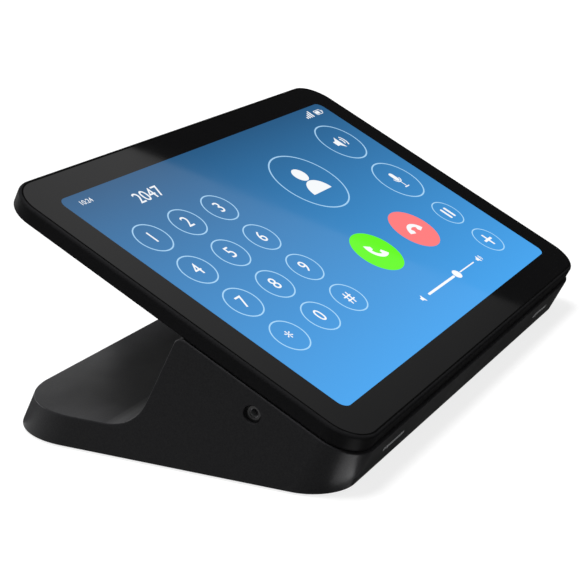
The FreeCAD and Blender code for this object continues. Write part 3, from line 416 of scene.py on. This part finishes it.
def buildScreen():
    rings, digits = dialPad()
    sideRings, sideMarks = sideKeys()
    x, y = screen["caller"]
    rings += ringLoops(x, y, screen["callerKey"], screen["bigLine"]) + sideRings
    marks = personLoops(x, y + screen["personRise"], screen["person"]) + sideMarks
    calls = (("call_key", screen["callColumn"], 135, "#66fa20"),
             ("end_key", screen["endColumn"], 0, "#ff7f80"))
    row = screen["callRow"]
    marks += [handsetLoop(x, row, screen["handset"], turn) for key, x, turn, colour in calls]
    marks += sliderMarks() + statusMarks()
    picture = [roundBar(0, 0, screen["width"], screen["height"], screen["corner"])]
    litPiece("screen_picture", [flatSolid(picture, *screen["picture"])], "blue_screen_light", "#48a5ef",
             "#265984")
    litPiece("screen_rings", [flatSolid(rings, *screen["keys"])], "pale_ring_light", "#a9dcff", "#a3cdee")
    for key, x, turn, colour in calls:
        disc = flatSolid([circleLoop(x, row, screen["callKey"])], *screen["keys"])
        litPiece("screen_" + key, [disc], "lit_" + key, colour, colour)
    meshes = [flatSolid(marks, *screen["marks"])] + [digitSolid(*digit, *screen["marks"]) for digit in digits]
    litPiece("screen_marks", meshes, "white_mark_light", "#ffffff", "#f2f6fa")
    print("screen lit:", len(rings) // 2, "rings,", len(digits), "numbers")


buildScreen()


# pieces that repeat: one node tree each, turned into a plain mesh

def nodeTree(name, inputs):  # a tree with named number inputs, and its group input node
    tree = bpy.data.node_groups.new(name, "GeometryNodeTree")
    tree.interface.new_socket("Geometry", in_out="INPUT", socket_type="NodeSocketGeometry")
    tree.interface.new_socket("Geometry", in_out="OUTPUT", socket_type="NodeSocketGeometry")
    for label in inputs:
        tree.interface.new_socket(label, in_out="INPUT", socket_type="NodeSocketFloat")
    return tree, tree.nodes.new("NodeGroupInput")


def closeTree(tree, points, shape, turn, material):  # shape on every point, realised and given its material
    spread = addNode(tree, "GeometryNodeInstanceOnPoints",
                     {"Points": points, "Instance": shape, "Rotation": turn})
    real = addNode(tree, "GeometryNodeRealizeInstances", {"Geometry": spread.outputs["Instances"]})
    painted = addNode(tree, "GeometryNodeSetMaterial",
                      {"Geometry": real.outputs["Geometry"], "Material": material})
    out = tree.nodes.new("NodeGroupOutput")
    tree.links.new(painted.outputs["Geometry"], out.inputs["Geometry"])


def runTree(tree, points, settings):  # the tree's mesh over these points, in millimetres
    seed = bpy.data.meshes.new("points")
    seed.from_pydata(points, [], [])
    holder = bpy.data.objects.new("points", seed)
    modifier = holder.modifiers.new("tree", "NODES")
    modifier.node_group = tree
    for item in tree.interface.items_tree:
        if item.in_out == "INPUT" and item.name in settings:
            modifier[item.identifier] = settings[item.name]
    return meshFrom(holder)


def screwTree(material, turn):  # a pan head with a rim, a six-sided drive recess and a shank
    tree, given = nodeTree("screw", ("Head radius", "Head height", "Drive radius", "Drive depth",
                                     "Shank radius", "Shank length"))
    size = given.outputs
    low = addNode(tree, "ShaderNodeMath", {0: size["Head height"], 1: 0.3}, operation="MULTIPLY")
    crown = addNode(tree, "ShaderNodeMath", {0: size["Head height"], 1: 0.7}, operation="MULTIPLY")
    rim = addNode(tree, "ShaderNodeMath", {0: size["Head radius"], 1: 0.86}, operation="MULTIPLY")
    head = addNode(tree, "GeometryNodeMeshCone", {"Vertices": 40, "Radius Top": size["Head radius"],
                                                  "Radius Bottom": rim.outputs[0], "Depth": low.outputs[0]})
    body = addNode(tree, "GeometryNodeMeshCylinder", {"Vertices": 40, "Radius": size["Head radius"],
                                                      "Depth": crown.outputs[0]})
    lift = addNode(tree, "ShaderNodeCombineXYZ", {"Z": low.outputs[0]})
    body = addNode(tree, "GeometryNodeTransform", {"Geometry": body.outputs["Mesh"],
                                                   "Translation": lift.outputs["Vector"]})
    middle = addNode(tree, "ShaderNodeMath", {0: crown.outputs[0], 1: 0.5}, operation="MULTIPLY")
    lift = addNode(tree, "ShaderNodeCombineXYZ", {"Z": middle.outputs[0]})
    body = addNode(tree, "GeometryNodeTransform", {"Geometry": body.outputs["Geometry"],
                                                   "Translation": lift.outputs["Vector"]})
    twice = addNode(tree, "ShaderNodeMath", {0: size["Drive depth"], 1: 2.0}, operation="MULTIPLY")
    drive = addNode(tree, "GeometryNodeMeshCylinder", {"Vertices": 6, "Radius": size["Drive radius"],
                                                       "Depth": twice.outputs[0]})
    shank = addNode(tree, "GeometryNodeMeshCylinder", {"Vertices": 24, "Radius": size["Shank radius"],
                                                       "Depth": size["Shank length"]})
    half = addNode(tree, "ShaderNodeMath", {0: size["Shank length"], 1: 0.5}, operation="MULTIPLY")
    lift = addNode(tree, "ShaderNodeMath", {0: half.outputs[0], 1: size["Head height"]}, operation="ADD")
    lift = addNode(tree, "ShaderNodeCombineXYZ", {"Z": lift.outputs[0]})
    shank = addNode(tree, "GeometryNodeTransform", {"Geometry": shank.outputs["Mesh"],
                                                    "Translation": lift.outputs["Vector"]})
    whole = addNode(tree, "GeometryNodeMeshBoolean", operation="UNION")
    for part in (head.outputs["Mesh"], body.outputs["Geometry"], shank.outputs["Geometry"]):
        tree.links.new(part, whole.inputs["Mesh 2"])
    cut = addNode(tree, "GeometryNodeMeshBoolean",
                  {"Mesh 1": whole.outputs["Mesh"], "Mesh 2": drive.outputs["Mesh"]}, operation="DIFFERENCE")
    closeTree(tree, given.outputs["Geometry"], cut.outputs["Mesh"], turn, material)
    return tree


coverScrew = {"Head radius": 1.7, "Head height": 1.2, "Drive radius": 0.85, "Drive depth": 0.7,
              "Shank radius": 0.9, "Shank length": 2.4}
plateScrew = {"Head radius": 2.7, "Head height": 1.2, "Drive radius": 1.25, "Drive depth": 0.8,
              "Shank radius": 1.45, "Shank length": 6.0}


def solidPoints(name):  # the points of each separate solid of a node, in metres
    bm = bmesh.new()
    bm.from_mesh(nodes[name].data)
    bmesh.ops.remove_doubles(bm, verts=bm.verts, dist=1e-6)
    seen, solids = set(), []
    for start in bm.verts:
        if start in seen:
            continue
        seen.add(start)
        stack, island = [start], []
        while stack:
            vert = stack.pop()
            island.append(vert.co.copy())
            for edge in vert.link_edges:
                other = edge.other_vert(vert)
                if other not in seen:
                    seen.add(other)
                    stack.append(other)
        solids.append(island)
    bm.free()
    return solids


headSlice = 0.05  # points this close to a screw's lowest one lie on the face of its head


def setScrews(name, place, sizes):
    spots = []
    for island in solidPoints(name):
        points = [place.inverted() @ co for co in island]
        low = min(co.z for co in points)
        face = [co for co in points if co.z < low + headSlice]
        spots.append(sum(face, Vector()) / len(face))
    mesh = runTree(screwTree(screwSteel, (0, 0, 0)), spots, sizes)
    piece = name[:-1] + "_set"
    newPiece(piece, joined(piece, [mesh], place), screwSteel, replaced=[name])


def buildScrews():
    setScrews("rear_cover_screws", panelPlace, coverScrew)
    setScrews("base_plate_screws", deskPlace, plateScrew)
    print("screws set")


# moulded rubber feet: a rolled edge and three rings underneath
foot = {"Radius": 7.0, "edge": 0.6, "grooves": (2.0, 3.6, 5.2), "grooveHalf": 0.3, "grooveDeep": 0.25,
        "edgeSteps": 6}


def latheMesh(profile, steps=72):  # radius and height pairs, turned about the upright axis
    bm = bmesh.new()
    rim = [bm.verts.new((r, 0, z)) for r, z in profile]
    for a, b in zip(rim, rim[1:]):
        bm.edges.new((a, b))
    bmesh.ops.spin(bm, geom=bm.verts[:] + bm.edges[:], axis=(0, 0, 1), cent=(0, 0, 0), angle=math.tau,
                   steps=steps)
    bmesh.ops.remove_doubles(bm, verts=bm.verts, dist=1e-5)
    bmesh.ops.recalc_face_normals(bm, faces=bm.faces)
    mesh = bpy.data.meshes.new("turned")
    bm.to_mesh(mesh)
    bm.free()
    return mesh


def buildFeet():
    names = [f"rubber_foot_{end}_{side}" for end in ("front", "rear") for side in ("left", "right")]
    profile = [(0.0, 0.0)]
    for groove in foot["grooves"]:
        profile += [(groove - foot["grooveHalf"], 0.0), (groove - foot["grooveHalf"] / 2, foot["grooveDeep"]),
                    (groove + foot["grooveHalf"] / 2, foot["grooveDeep"]), (groove + foot["grooveHalf"], 0.0)]
    edge, radius = foot["edge"], foot["Radius"]
    for step in range(foot["edgeSteps"] + 1):
        turn = math.pi / 2 * step / foot["edgeSteps"]
        profile.append((radius - edge + edge * math.sin(turn), edge - edge * math.cos(turn)))
    height = (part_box(names[0])[1].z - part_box(names[0])[0].z) / mm
    profile += [(radius, height), (0.0, height)]
    meshes = []
    for name in names:
        low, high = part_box(name)
        mesh = latheMesh(profile)
        mesh.transform(Matrix.Translation(((low.x + high.x) / 2 / mm, (low.y + high.y) / 2 / mm, low.z / mm)))
        meshes.append(mesh)
    newPiece("rubber_feet", joined("rubber_feet", meshes, deskPlace), footRubber,
             replaced=names)
    print("feet turned")


buildScrews()
buildFeet()


# small visible details

# seal rubber: the fine black line round the glass
sealRubber = surface("black_seal_rubber", "#040404", "#070707", 0.8, 0.4, 0.1, level=0.02)
# nickel-plated spring brass: a grey glint inside the jack, partly mirrored light from its metal and partly
# painted light in its pale grey colour, which stands in for the lit inside of the jack
nickelAndPaintedGlint = surface("nickel_brass_and_painted_glint", "#8c8d8f", "#a0a1a3", 0.28, 0.4, 0.05, metallic=0.35)
# gold flash: warm bright wires in the socket
contactGold = surface("gold_flashed_contact", "#b08a3c", "#c69f4c", 0.25, 0.3, 0.05, metallic=1.0)
# woven cloth: near black and quite dull
speakerCloth = surface("acoustic_cloth", "#0b0b0c", "#151516", 0.9, 0.25, 0.8, level=0.05)


def onPanel(x, y, z, across, up, out):  # a flat piece's own axes set along these panel directions
    turn = panelTurn.to_3x3() @ Matrix((across, up, out)).transposed()
    return Matrix.Translation(panelPoint(x, y, z)) @ turn.to_4x4() @ Matrix.Scale(mm, 4)


# a black bead of seal over the joint of glass and frame
seal = {"inside": 0.12, "outside": 0.55, "low": -0.25, "high": 0.03, "corner": 13.0}


def buildSeal():
    inverse = panelPlace.inverted()
    spots = [inverse @ vert.co for vert in nodes["cover_glass"].data.vertices]
    wide, high = 2 * max(abs(spot.x) for spot in spots), 2 * max(abs(spot.y) for spot in spots)
    loops = [roundBar(0, 0, wide + 2 * grow, high + 2 * grow, seal["corner"] + grow, 24)
             for grow in (seal["outside"], -seal["inside"])]
    newPiece("glass_seal", joined("glass_seal", [flatSolid(loops, seal["low"], seal["high"])], panelPlace),
             sealRubber)


# sprung sleeve in the headset jack, just inside its mouth
sleeve = {"along": -42.6, "drop": -15.4, "inner": 1.5, "outer": 1.77, "from": 0.5, "to": 9.0,
          "lead": (0.12, 0.3)}


def buildSleeve():
    inner, outer, near, far = (sleeve[key] for key in ("inner", "outer", "from", "to"))
    wider, deeper = sleeve["lead"]
    bore = (inner, near + deeper)
    profile = [bore, (inner + wider, near), (outer, near), (outer, far), (inner, far), bore]
    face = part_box("headset_jack")[0].x / mm
    place = onPanel(face, sleeve["along"], sleeve["drop"], (0, 1, 0), (0, 0, 1), (1, 0, 0))
    # the sleeve's pale grey is partly a painted glint for the lit inside of the jack
    newPiece("jack_sleeve", joined("jack_sleeve", [latheMesh(profile, 48)], place), nickelAndPaintedGlint)


# cloth set back in both microphone slits
cloth = {"across": 83.0, "drop": -15.3, "long": 17.5, "high": 0.76, "deep": (0.7, 1.0)}


def buildCloth():
    front = min((panelPlace.inverted() @ vert.co).y for vert in nodes["mic_trim_left"].data.vertices)
    nearlyHalf = cloth["high"] / 2.02
    loops = [roundBar(side * cloth["across"], 0, cloth["long"], cloth["high"], nearlyHalf)
             for side in (-1, 1)]
    place = onPanel(0, front, cloth["drop"], (1, 0, 0), (0, 0, 1), (0, -1, 0))
    near, far = cloth["deep"]
    newPiece("microphone_cloth", joined("microphone_cloth", [flatSolid(loops, -far, -near)], place),
             speakerCloth)


# cloth held in the thickness of the speaker grille, seen through its slots
grilleCloth = {"inset": 2.5, "thick": 0.3}


def buildGrilleCloth():
    spots = [panelPlace.inverted() @ vert.co for vert in nodes["speaker_grille"].data.vertices]
    low = Vector([min(spot[axis] for spot in spots) for axis in range(3)])
    high = Vector([max(spot[axis] for spot in spots) for axis in range(3)])
    middle, size = (low + high) / 2, high - low
    wide, tall = size.x - 2 * grilleCloth["inset"], size.z - 2 * grilleCloth["inset"]
    sheet = flatSolid([roundBar(0, 0, wide, tall, 1.0)], -grilleCloth["thick"] / 2, grilleCloth["thick"] / 2)
    place = onPanel(middle.x, middle.y, middle.z, (1, 0, 0), (0, 0, 1), (0, -1, 0))
    newPiece("grille_cloth", joined("grille_cloth", [sheet], place), speakerCloth)


# the usual on-off sign, pad printed on the push button
powerSign = {"along": -42.6, "drop": -15.4, "radius": 0.95, "arc": (125, 415), "line": 0.24,
             "stem": ((0, 0.15), (0, 0.7), (0, 1.25)), "sunk": 0.02, "high": 0.04}


def buildPowerSign():
    loops = [strokeLoop(arcPath(0, 0, powerSign["radius"], *powerSign["arc"], 40), powerSign["line"]),
             strokeLoop(powerSign["stem"], powerSign["line"])]
    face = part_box("power_button")[1].x / mm
    place = onPanel(face, powerSign["along"], powerSign["drop"], (0, 1, 0), (0, 0, 1), (1, 0, 0))
    sign = flatSolid(loops, -powerSign["sunk"], powerSign["high"])
    newPiece("power_sign", joined("power_sign", [sign], place), lacquerAndPaintedHighlight, body="power_button")


def barTree(name, material, turn):  # one round bar on every point
    tree, given = nodeTree(name, ("Radius", "Length"))
    bar = addNode(tree, "GeometryNodeMeshCylinder", {"Vertices": 20, "Radius": given.outputs["Radius"],
                                                     "Depth": given.outputs["Length"]})
    closeTree(tree, given.outputs["Geometry"], bar.outputs["Mesh"], turn, material)
    return tree


# finger ribs under the cable cover, sunk in its floor
rib = {"Radius": 0.55, "Length": 30.0, "count": 9, "pitch": 2.2, "sunk": 0.2, "fromBack": 7.0}
# spring contacts of the network socket
contact = {"Radius": 0.16, "Length": 8.0, "count": 8, "pitch": 1.02, "inward": 6.0, "down": 3.4, "lean": 0.22}


def buildBars():
    low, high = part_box("cable_cover")
    back = high.y / mm - rib["fromBack"]
    points = [(0, back - rib["pitch"] * i, low.z / mm + rib["sunk"]) for i in range(rib["count"])]
    mesh = runTree(barTree("finger_rib", shellPlastic, (0, math.pi / 2, 0)), points, rib)
    newPiece("cover_ribs", joined("cover_ribs", [mesh], deskPlace), shellPlastic, body="cable_cover")
    low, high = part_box("network_socket")
    middle = (low.x + high.x) / 2 / mm
    points = [(middle + contact["pitch"] * (i - (contact["count"] - 1) / 2), high.y / mm - contact["inward"],
               high.z / mm - contact["down"]) for i in range(contact["count"])]
    lean = (math.pi / 2 + contact["lean"], 0, 0)
    mesh = runTree(barTree("spring_contact", contactGold, lean), points, contact)
    newPiece("network_contacts", joined("network_contacts", [mesh], deskPlace), contactGold)


buildSeal()
buildSleeve()
buildCloth()
buildGrilleCloth()
buildPowerSign()
buildBars()
print("details built")


# floor and light

studio = {"floorAlbedo": 0.24, "floorGlow": 0.8, "glowFrom": 0.25, "glowTo": 1.2, "ambient": 0.3,
          "mirrored": 0.03, "floorRadius": 3.0, "wallRadius": 4.2, "wallHeight": 1.4,
          "bendSteps": 10, "turnSteps": 96}


def buildFloor():
    profile = [(0.0, 0.0), (studio["floorRadius"], 0.0)]
    for step in range(1, studio["bendSteps"] + 1):
        turn = math.pi / 2 * step / studio["bendSteps"]
        reach = (studio["wallRadius"] - studio["floorRadius"]) * math.sin(turn)
        profile.append((studio["floorRadius"] + reach, studio["wallHeight"] * (1 - math.cos(turn))))
    mesh = latheMesh(profile, studio["turnSteps"])
    if sum(face.normal.z for face in mesh.polygons) < 0:
        mesh.flip_normals()
    floor = bpy.data.objects.new("floor", mesh)
    bpy.context.scene.collection.objects.link(floor)
    mesh.materials.append(backdropPaper())


def backdropPaper():  # white to the eye, in mirrors and through glass; takes the shadow; clear from below
    material, tree, shader = newMaterial("pale_backdrop_paper")
    tree.nodes.remove(shader)
    path = addNode(tree, "ShaderNodeLightPath")
    seen = path.outputs["Is Camera Ray"]
    for ray in ("Is Glossy Ray", "Is Transmission Ray"):
        most = addNode(tree, "ShaderNodeMath", {0: seen, 1: path.outputs[ray]}, operation="MAXIMUM")
        seen = most.outputs[0]
    where = addNode(tree, "ShaderNodeTexCoord").outputs["Object"]
    span = addNode(tree, "ShaderNodeVectorMath", {0: where}, operation="LENGTH").outputs["Value"]
    rise = addNode(tree, "ShaderNodeMapRange", {
        "Value": span, "From Min": studio["glowFrom"], "From Max": studio["glowTo"],
        "To Min": studio["floorGlow"], "To Max": 1.0}, interpolation_type="SMOOTHSTEP")
    glow = addNode(tree, "ShaderNodeMath", {0: seen, 1: rise.outputs["Result"]}, operation="MULTIPLY")
    paper = addNode(tree, "ShaderNodeBsdfDiffuse", {"Color": (studio["floorAlbedo"],) * 3 + (1.0,)})
    light = addNode(tree, "ShaderNodeEmission", {"Strength": glow.outputs[0]})
    both = addNode(tree, "ShaderNodeAddShader", {0: paper.outputs[0], 1: light.outputs[0]})
    side = addNode(tree, "ShaderNodeNewGeometry").outputs["Backfacing"]
    clear = addNode(tree, "ShaderNodeBsdfTransparent")
    mix = addNode(tree, "ShaderNodeMixShader", {0: side, 1: both.outputs[0], 2: clear.outputs[0]})
    tree.links.new(mix.outputs[0], tree.nodes["Material Output"].inputs["Surface"])
    return material


def buildWorld():  # a dark room in mirrors, soft light elsewhere
    world = bpy.data.worlds.new("studio")
    world.use_nodes = True
    tree = world.node_tree
    sky = tree.nodes["Background"]
    sky.inputs["Color"].default_value = (1, 1, 1, 1)
    path = addNode(tree, "ShaderNodeLightPath")
    level = addNode(tree, "ShaderNodeMapRange", {"Value": path.outputs["Is Glossy Ray"],
                                                 "To Min": studio["ambient"], "To Max": studio["mirrored"]})
    tree.links.new(level.outputs["Result"], sky.inputs["Strength"])
    bpy.context.scene.world = world


# places and sizes in metres, power in watts
lamps = {"key_box": {"place": (-0.3, 0.05, 1.6), "size": 0.6, "power": 26.0},
         "fill_box": {"place": (-1.3, 0.9, 0.9), "size": 0.9, "power": 0.5},
         "back_box": {"place": (0.15, 1.5, 0.4), "size": 0.8, "power": 8.0}}
lampAim = Vector((0, 0, 0.03))


def softBox(name, place, size, power):
    lamp = bpy.data.lights.new(name, "AREA")
    lamp.shape = "DISK"
    lamp.size = size
    lamp.energy = power
    box = bpy.data.objects.new(name, lamp)
    box.location = place
    box.rotation_euler = (lampAim - Vector(place)).to_track_quat("-Z", "Y").to_euler()
    bpy.context.scene.collection.objects.link(box)


def glowCard(name, corners, strength, fade=None):  # paper that is only seen mirrored in the object
    mesh = bpy.data.meshes.new(name)
    mesh.from_pydata(corners, [], [(0, 1, 2, 3)])
    card = bpy.data.objects.new(name, mesh)
    bpy.context.scene.collection.objects.link(card)
    material, tree, shader = newMaterial(name + "_paper")
    shader.inputs["Base Color"].default_value = (0, 0, 0, 1)
    shader.inputs["Specular IOR Level"].default_value = 0.0
    shader.inputs["Emission Color"].default_value = (1, 1, 1, 1)
    shader.inputs["Emission Strength"].default_value = strength
    if fade:
        where = addNode(tree, "ShaderNodeTexCoord").outputs["Object"]
        run = addNode(tree, "ShaderNodeVectorMath", {0: where, 1: fade["along"]}, operation="DOT_PRODUCT")
        level = addNode(tree, "ShaderNodeMapRange", {
            "Value": run.outputs["Value"], "From Min": fade["from"][0], "To Min": fade["from"][1],
            "From Max": fade["to"][0], "To Max": fade["to"][1]})
        tree.links.new(level.outputs["Result"], shader.inputs["Emission Strength"])
    mesh.materials.append(material)
    card.visible_camera = False
    card.visible_diffuse = False
    card.visible_shadow = False


# a light card whose edge is mirrored in the glass along a line of the panel, from high to low in millimetres;
# inside is a panel point on its lit side, reach and distance are in metres, far and near its strengths
glossCard = {"high": (-41.0, 81.0), "low": (43.0, -81.0), "inside": (-100, -60), "far": 0.42, "near": 0.13,
             "distance": 1.0, "reach": 2.4}


def buildGlossCard():
    eye = camera.matrix_world.translation

    def mirrored(point):
        ray = (point - eye).normalized()
        return ray - 2 * ray.dot(panelOut) * panelOut

    facing = mirrored(panelOrigin)
    centre = panelOrigin + facing * glossCard["distance"]

    def onCard(x, y):
        start = panelPoint(x, y)
        ray = mirrored(start)
        return start + ray * ((centre - start).dot(facing) / ray.dot(facing))

    high, low = onCard(*glossCard["high"]), onCard(*glossCard["low"])
    along = (low - high).normalized()
    away = along.cross(facing).normalized()
    if away.dot(onCard(*glossCard["inside"]) - high) < 0:
        away = -away
    longer, wider = along * glossCard["reach"], away * glossCard["reach"]
    corners = [high - longer, low + longer, low + longer + wider, high - longer + wider]
    fade = {"along": along, "from": (high.dot(along), glossCard["far"]),
            "to": (low.dot(along), glossCard["near"])}
    glowCard("gloss_card", corners, 1.0, fade)


# a small card behind the tail for its sheen, and one on the floor for the light down the front corner, both
# in millimetres; grey ones, in metres, keep the bright floor out of the walls turned from the light
sheenCard = {"middle": (-25, 120, 48), "toward": (0.75, 0.56, 0.35), "half": 24, "strength": 1.3}
cornerCard = {"near": (-115.5, -73), "reach": (-10, -20), "half": 7, "height": 0.6, "strength": 8.0}
greyFlag = {"x": (-0.11, 0.24), "y": (-0.45, 0.65), "low": 0.0003, "high": 0.06, "step": 0.11, "tall": 0.1,
            "under": (-0.1205, 0.062), "strength": 0.1}


def buildSheenCard():
    out = Vector(sheenCard["toward"]).normalized()
    across = out.cross(Vector((0, 0, 1))).normalized() * sheenCard["half"] * mm
    rise = across.cross(out).normalized() * sheenCard["half"] * mm
    middle = Vector(sheenCard["middle"]) * mm
    glowCard("sheen_card", [middle - across - rise, middle + across - rise, middle + across + rise,
                            middle - across + rise], sheenCard["strength"])


def buildCornerCard():
    start = Vector((*cornerCard["near"], cornerCard["height"])) * mm
    run = Vector((*cornerCard["reach"], 0)) * mm
    wide = run.normalized().cross(Vector((0, 0, 1))) * cornerCard["half"] * mm
    glowCard("corner_card", [start - wide, start + wide, start + run + wide, start + run - wide],
             cornerCard["strength"])


def buildFlags():
    (left, right), (front, back) = greyFlag["x"], greyFlag["y"]
    low, high, step, tall = (greyFlag[key] for key in ("low", "high", "step", "tall"))
    spans = (("front", front, 0, high, greyFlag["strength"]), ("middle", 0, step, high, 0.0),
             ("back", step, back, tall, 0.0))
    for name, y0, y1, top, strength in spans:
        flat = [(left, y0, low), (right, y0, low), (right, y1, low), (left, y1, low)]
        wall = [(right, y0, low), (right, y1, low), (right, y1, top), (right, y0, top)]
        glowCard("flag_floor_" + name, flat, strength)
        glowCard("flag_side_" + name, wall, strength)
    edge, half = greyFlag["under"]
    flat = [(edge, -half, low), (left, -half, low), (left, half, low), (edge, half, low)]
    glowCard("flag_under", flat, 0.0)


buildFloor()
buildWorld()
for name, lamp in lamps.items():
    softBox(name, lamp["place"], lamp["size"], lamp["power"])
buildGlossCard()
buildSheenCard()
buildFlags()
buildCornerCard()
bpy.context.scene.view_settings.view_transform = "Standard"
print("studio built")
